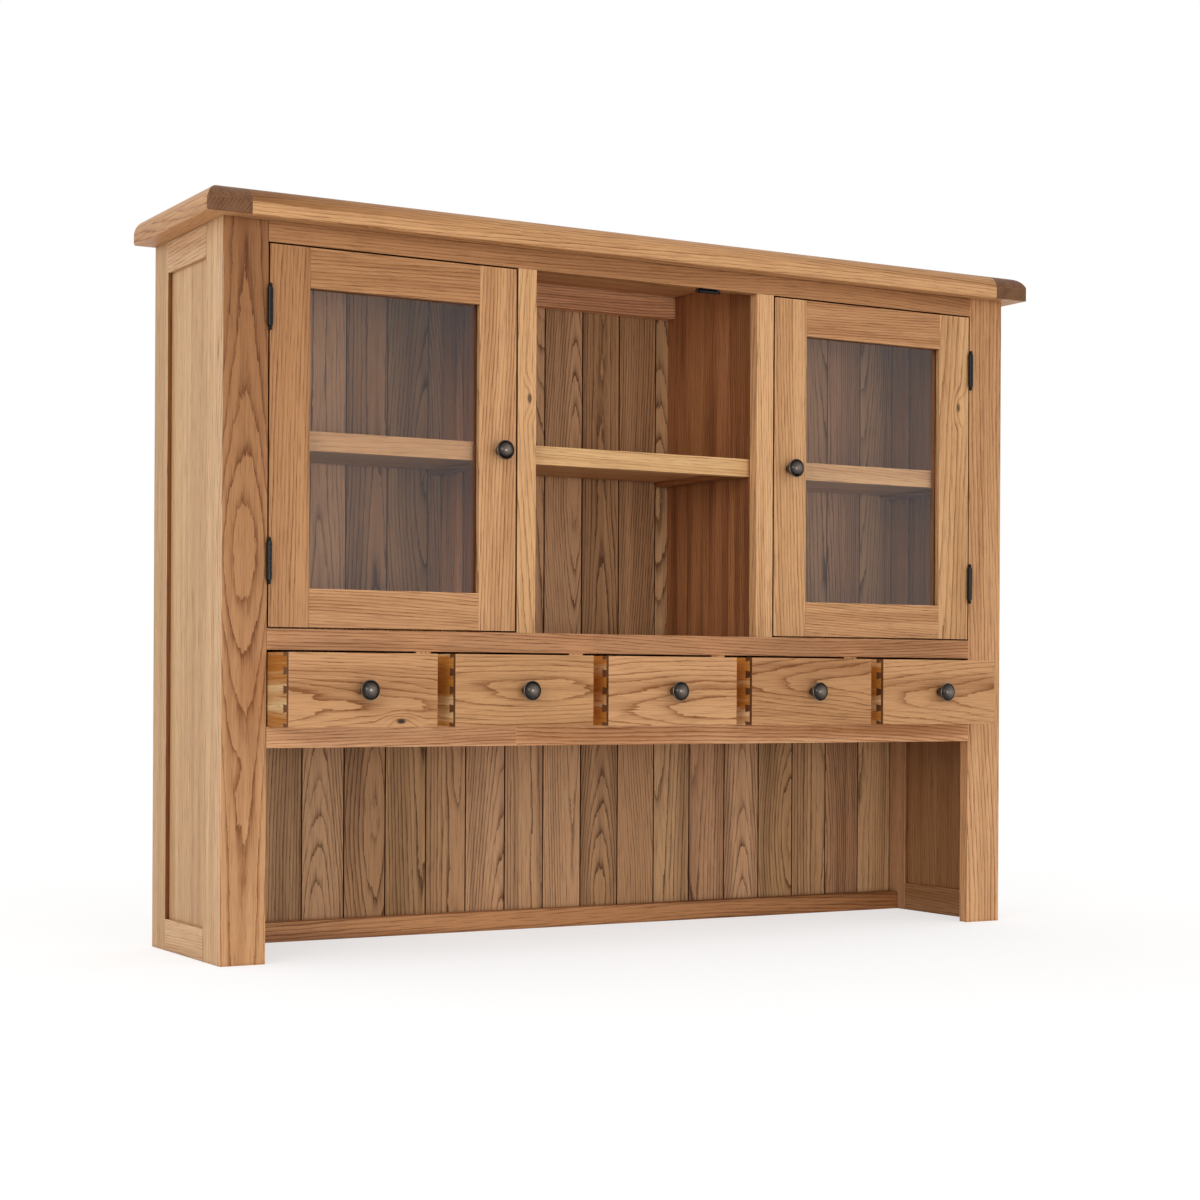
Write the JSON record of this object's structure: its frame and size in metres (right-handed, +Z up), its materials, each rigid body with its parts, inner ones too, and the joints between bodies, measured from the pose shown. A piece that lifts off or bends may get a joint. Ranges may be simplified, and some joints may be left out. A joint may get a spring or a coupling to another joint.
{
  "type": "hutch",
  "caption": "Wide shallow oak hutch with glazed doors beside an open shelf bay, a row of small dovetailed drawers and an open lower bay with a matchboard back.",
  "frame": {"origin": "floor level, middle of the overall box at rest with the drawers standing open", "axes": "+X to the right along the width, +Y to the back, +Z up; the front faces -Y"},
  "size_m": [1.452, 0.39, 1.0825],
  "materials": {
    "oak_face": "clear satin lacquer on honey oak",
    "oak_top": "clear satin lacquer on honey oak",
    "oak_side": "clear satin lacquer on paler oak",
    "oak_inner": "clear satin lacquer on oak",
    "oak_back": "clear satin lacquer on oak",
    "oak_shelf": "clear satin lacquer on pale oak",
    "oak_drawer": "bare pale oak with streaks",
    "glass": "clear float glass",
    "pewter": "dark pewter patina",
    "black_iron": "satin black",
    "steel": "plain steel",
    "catch_plastic": "brown moulded"
  },
  "bodies": {
    "carcass": {"top_board": "oak_top", "top_end_left": "oak_top", "top_end_right": "oak_top", "face_stile_left": "oak_face", "face_stile_right": "oak_face", "face_top_rail": "oak_face", "face_mid_rail": "oak_face", "face_drawer_rail": "oak_face", "face_mullions": "oak_face", "drawer_dividers": "oak_face", "side_frame_left": "oak_side", "side_frame_right": "oak_side", "side_panel_left": "oak_side", "side_panel_right": "oak_side", "partition_left": "oak_inner", "partition_right": "oak_inner", "cupboard_floor": "oak_inner", "drawer_bay_floor": "oak_inner", "drawer_guides": "oak_inner", "back_boards": "oak_back", "back_rails": "oak_inner", "shelf_left": "oak_shelf", "shelf_centre": "oak_shelf", "shelf_right": "oak_shelf", "shelf_cleats": "oak_inner", "hinge_frame_leaves": "black_iron", "hinge_pins": "black_iron", "door_catches": "catch_plastic", "rail_fitting": "black_iron"},
    "left_door": {"left_door_hinge_stile": "oak_face", "left_door_lock_stile": "oak_face", "left_door_rails": "oak_face", "left_door_glass": "glass", "left_door_beads": "oak_inner", "left_door_knob": "pewter", "left_door_hinge_leaves": "black_iron", "left_door_strike": "steel"},
    "right_door": {"right_door_hinge_stile": "oak_face", "right_door_lock_stile": "oak_face", "right_door_rails": "oak_face", "right_door_glass": "glass", "right_door_beads": "oak_inner", "right_door_knob": "pewter", "right_door_hinge_leaves": "black_iron", "right_door_strike": "steel"},
    "drawer_1": {"drawer_1_front": "oak_face", "drawer_1_box": "oak_drawer", "drawer_1_knob": "pewter"},
    "drawer_2": {"drawer_2_front": "oak_face", "drawer_2_box": "oak_drawer", "drawer_2_knob": "pewter"},
    "drawer_3": {"drawer_3_front": "oak_face", "drawer_3_box": "oak_drawer", "drawer_3_knob": "pewter"},
    "drawer_4": {"drawer_4_front": "oak_face", "drawer_4_box": "oak_drawer", "drawer_4_knob": "pewter"},
    "drawer_5": {"drawer_5_front": "oak_face", "drawer_5_box": "oak_drawer", "drawer_5_knob": "pewter"}
  },
  "joints": [
    {"name": "left_door_swing", "type": "hinge", "parent": "carcass", "child": "left_door", "pos_m": [-0.6243, -0.0932, 0.74225], "axis": [0, 0, -1], "range_deg": [0, 170]},
    {"name": "right_door_swing", "type": "hinge", "parent": "carcass", "child": "right_door", "pos_m": [0.6243, -0.0932, 0.74225], "axis": [0, 0, 1], "range_deg": [0, 170]},
    {"name": "drawer_1_slide", "type": "slide", "parent": "carcass", "child": "drawer_1", "axis": [0, -1, 0], "range_m": [-0.076, 0.114]},
    {"name": "drawer_2_slide", "type": "slide", "parent": "carcass", "child": "drawer_2", "axis": [0, -1, 0], "range_m": [-0.077, 0.113]},
    {"name": "drawer_3_slide", "type": "slide", "parent": "carcass", "child": "drawer_3", "axis": [0, -1, 0], "range_m": [-0.074, 0.116]},
    {"name": "drawer_4_slide", "type": "slide", "parent": "carcass", "child": "drawer_4", "axis": [0, -1, 0], "range_m": [-0.075, 0.115]},
    {"name": "drawer_5_slide", "type": "slide", "parent": "carcass", "child": "drawer_5", "axis": [0, -1, 0], "range_m": [-0.07, 0.12]}
  ]
}
